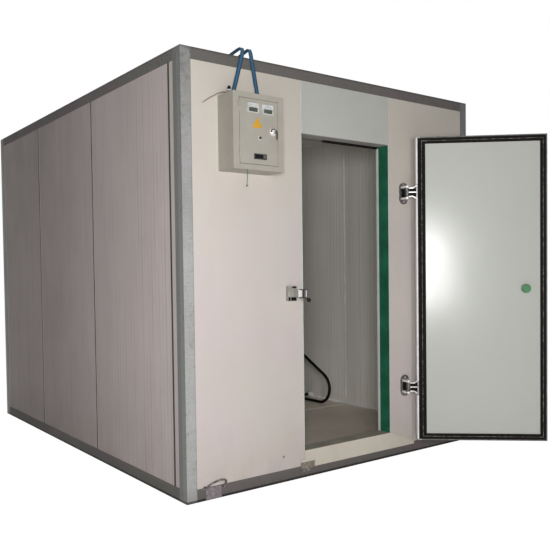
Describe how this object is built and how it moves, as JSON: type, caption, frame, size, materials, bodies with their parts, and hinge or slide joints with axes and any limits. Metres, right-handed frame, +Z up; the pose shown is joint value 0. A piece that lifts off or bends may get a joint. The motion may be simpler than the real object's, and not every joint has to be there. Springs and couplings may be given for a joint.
{
  "type": "walk-in cold room",
  "caption": "Walk-in cold room of insulated panels with aluminium edge angles, a hinged insulated door and a hinged control box on its front wall.",
  "frame": {"origin": "centre of the room's footprint at ground level", "axes": "+X to the right along the front wall, +Y from the front wall to the back wall, +Z up"},
  "size_m": [2.3192, 3.8923, 2.4559],
  "materials": {
    "wall_sheet": "micro-ribbed coated sheet",
    "front_sheet": "smooth coated sheet",
    "floor_sheet": "smooth coated sheet",
    "aluminium": "mill finish",
    "lining_green": "extruded",
    "chrome": "polished",
    "door_sheet": "smooth coated sheet",
    "black_rubber": "matt",
    "green_plastic": "moulded",
    "grey_paint": "textured powder coat",
    "black_plastic": "moulded",
    "blue_webbing": "woven webbing",
    "teal_cord": "twisted"
  },
  "bodies": {
    "room": {"back_wall_panel_1": "wall_sheet", "back_wall_panel_2": "wall_sheet", "base_rail_back": "aluminium", "base_rail_front": "aluminium", "base_rails_sides": "aluminium", "cable_gland": "black_plastic", "control_box_shell": "grey_paint", "corner_angle_back_left": "aluminium", "corner_angle_back_right": "aluminium", "corner_angle_front_left": "aluminium", "corner_angle_front_right": "aluminium", "door_sill": "front_sheet", "drain_hose": "black_rubber", "floor_panel_1": "floor_sheet", "floor_panel_2": "floor_sheet", "floor_panel_3": "floor_sheet", "front_wall_left": "front_sheet", "front_wall_over_door": "front_sheet", "front_wall_right": "front_sheet", "hanging_string": "teal_cord", "head_lining": "front_sheet", "head_seal": "black_rubber", "hinge_bracket_lower": "chrome", "hinge_bracket_upper": "chrome", "hose_glands": "black_plastic", "jamb_edge_strips": "aluminium", "jamb_lining_left": "lining_green", "jamb_lining_right": "lining_green", "latch_strike": "chrome", "left_wall_panel_1": "wall_sheet", "left_wall_panel_2": "wall_sheet", "left_wall_panel_3": "wall_sheet", "lifting_handle": "aluminium", "right_wall_panel_1": "wall_sheet", "right_wall_panel_2": "wall_sheet", "right_wall_panel_3": "wall_sheet", "roof_panel_1": "wall_sheet", "roof_panel_2": "wall_sheet", "roof_panel_3": "wall_sheet", "sensor_wire": "black_rubber", "sill_joint_plate": "aluminium", "strap_anchors": "aluminium", "strap_left": "blue_webbing", "strap_right": "blue_webbing", "threshold_plate": "aluminium", "top_rail_back": "aluminium", "top_rail_front": "aluminium", "top_rails_sides": "aluminium"},
    "door": {"door_leaf": "door_sheet", "door_edge_frame": "aluminium", "door_gasket": "black_rubber", "release_knob": "green_plastic", "latch_handle": "chrome", "hinge_strap_lower": "chrome", "hinge_strap_upper": "chrome"},
    "control_box_cover": {"control_box_front": "grey_paint", "panel_instruments": "black_plastic", "key_lock": "chrome", "lock_key": "chrome"}
  },
  "joints": [
    {"name": "door_hinge", "type": "hinge", "parent": "room", "child": "door", "pos_m": [0.4735, -1.664, 0], "axis": [0, 0, 1], "range_deg": [-137.5, 27.5]},
    {"name": "control_box_hinge", "type": "hinge", "parent": "room", "child": "control_box_cover", "pos_m": [-0.8875, -1.756, 0], "axis": [0, 0, -1], "range_deg": [0, 110]}
  ]
}
